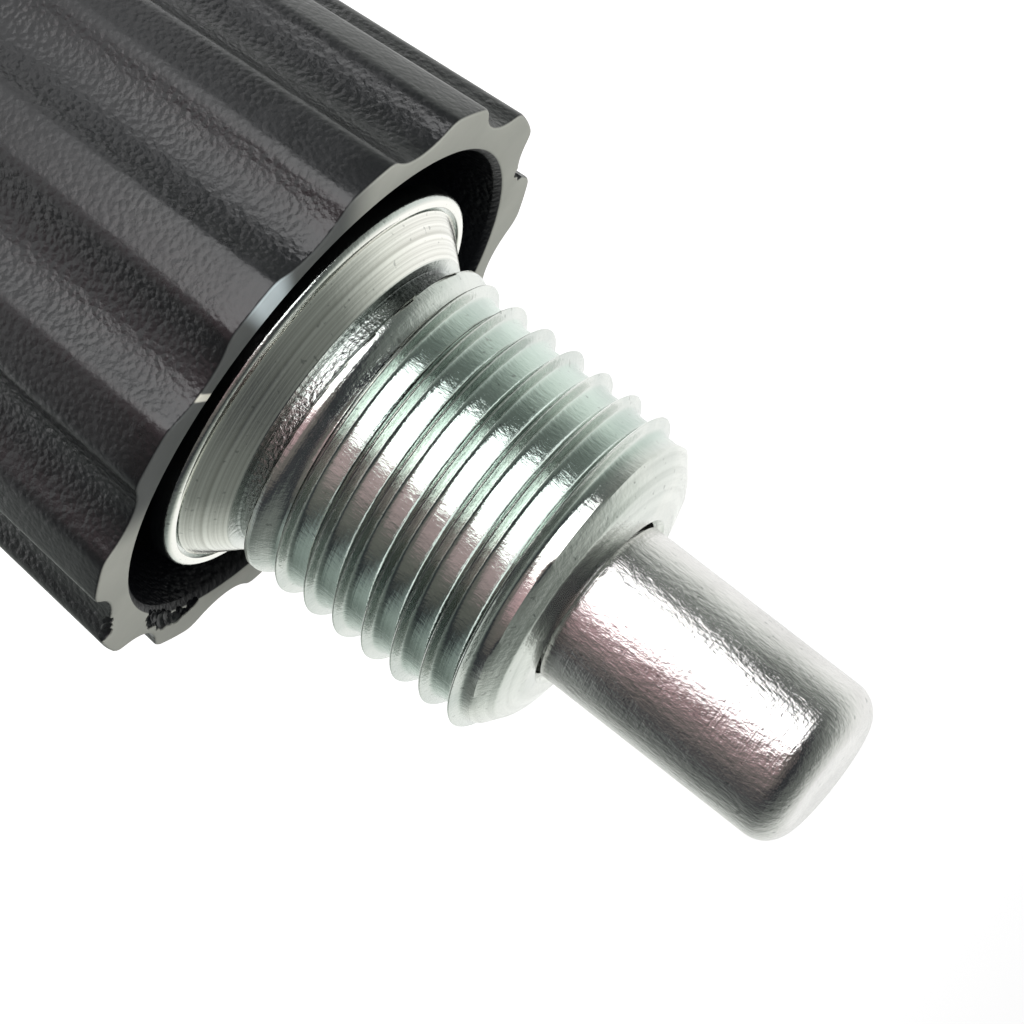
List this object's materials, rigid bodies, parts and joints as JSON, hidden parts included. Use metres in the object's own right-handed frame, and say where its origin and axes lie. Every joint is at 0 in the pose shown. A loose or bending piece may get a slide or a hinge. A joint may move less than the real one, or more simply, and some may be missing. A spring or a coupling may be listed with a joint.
{
  "type": "indexing plunger",
  "caption": "Spring-loaded locking pin in a threaded steel sleeve, pulled back by a fluted plastic knob and returned by a coil spring.",
  "frame": {"origin": "centre of the knob's closed end, on which the plunger stands", "axes": "+Z along the pin axis from the knob towards the pin's tip; +X and +Y point at knob crowns"},
  "size_m": [0.0184, 0.0184, 0.0426],
  "materials": {
    "zinc_plated_steel": "bright zinc plating with a clear passivation",
    "pin_steel": "bright zinc plating, slightly speckled",
    "bush_steel": "plain turned steel",
    "spring_steel": "drawn spring wire",
    "knob_plastic": "moulded with a coarse spark-eroded grain",
    "insert_brass": "turned brass"
  },
  "bodies": {
    "sleeve": {"threaded_sleeve": "zinc_plated_steel", "rear_bush": "bush_steel", "compression_spring": "spring_steel"},
    "follower": {"spring_washer": "bush_steel"},
    "plunger": {"plunger_pin": "pin_steel", "knob": "knob_plastic", "knob_insert": "insert_brass"}
  },
  "joints": [
    {"name": "pull", "type": "slide", "parent": "sleeve", "child": "follower", "axis": [0, 0, -1], "range_m": [0, 0.0078], "stiffness_N_per_m": 1500, "springref_m": -0.0045, "deforming": ["compression_spring"]},
    {"name": "spin", "type": "hinge", "parent": "follower", "child": "plunger", "pos_m": [0, 0, 0], "axis": [0, 0, 1], "continuous": true}
  ]
}
